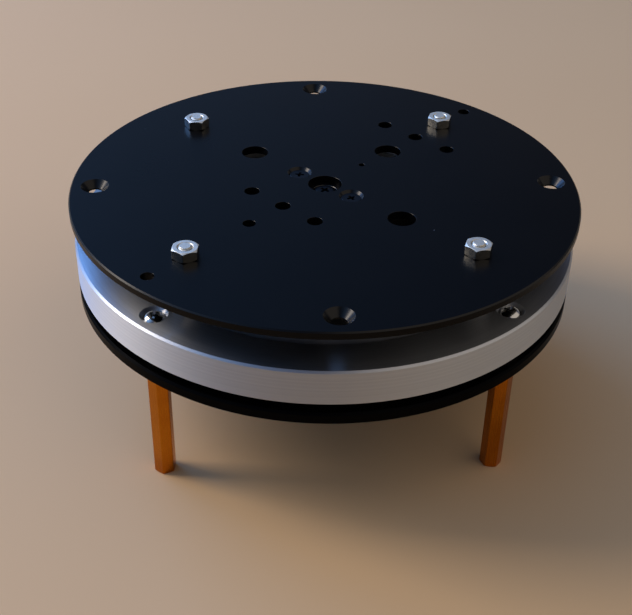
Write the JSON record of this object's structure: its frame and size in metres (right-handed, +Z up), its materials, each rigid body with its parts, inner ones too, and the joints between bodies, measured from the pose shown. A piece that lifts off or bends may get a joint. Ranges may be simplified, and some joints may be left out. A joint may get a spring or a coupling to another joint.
{
  "type": "turntable base",
  "caption": "Round motor-driven turntable base: a drilled top plate turns on a flat ball bearing over a base plate on hex legs.",
  "frame": {"origin": "on the floor, under the turning axis", "axes": "+Z up along the turning axis, +X along the servo's length, from the output shaft to the far end of its case"},
  "size_m": [0.12, 0.12, 0.0568],
  "materials": {
    "black_plate": "black anodised, satin",
    "ring_aluminium": "turned, clear",
    "leg_brass": "drawn hex bar",
    "plated_steel": "nickel plated",
    "black_steel": "black oxide",
    "spacer_aluminium": "turned",
    "ball_steel": "polished",
    "cage_nylon": "moulded nylon",
    "servo_plastic": "moulded, fine texture",
    "bush_bronze": "sintered bronze",
    "shaft_steel": "machined",
    "grommet_rubber": "moulded rubber",
    "horn_aluminium": "black anodised"
  },
  "bodies": {
    "base": {"base_plate": "black_plate", "outer_ring": "ring_aluminium", "leg_front_left": "leg_brass", "leg_front_right": "leg_brass", "leg_rear_left": "leg_brass", "leg_rear_right": "leg_brass", "ring_screws": "plated_steel", "ring_spacer_nuts": "plated_steel", "servo_bottom_case": "servo_plastic", "servo_middle_case": "servo_plastic", "servo_top_case": "servo_plastic", "servo_case_screws": "black_steel", "servo_output_bush": "bush_bronze", "servo_lead_grommet": "grommet_rubber", "servo_flange_screws": "plated_steel", "servo_flange_nuts": "plated_steel"},
    "platform": {"top_plate": "black_plate", "inner_ring": "ring_aluminium", "platform_bolts": "plated_steel", "platform_nuts": "plated_steel", "platform_spacers": "spacer_aluminium", "servo_output_shaft": "shaft_steel", "servo_horn": "horn_aluminium", "horn_screws": "black_steel", "horn_centre_screw": "black_steel"},
    "ball_set": {"bearing_balls": "ball_steel", "ball_cage": "cage_nylon"}
  },
  "joints": [
    {"name": "platform_turn", "type": "hinge", "parent": "base", "child": "platform", "pos_m": [0, 0, 0.03965], "axis": [0, 0, 1], "range_deg": [-90, 90]},
    {"name": "ball_roll", "type": "hinge", "parent": "base", "child": "ball_set", "pos_m": [0, 0, 0.03965], "axis": [0, 0, 1], "range_deg": [-45, 45]}
  ],
  "couplings": [
    {"joint": "ball_roll", "follows": "platform_turn", "ratio": 0.4796}
  ]
}
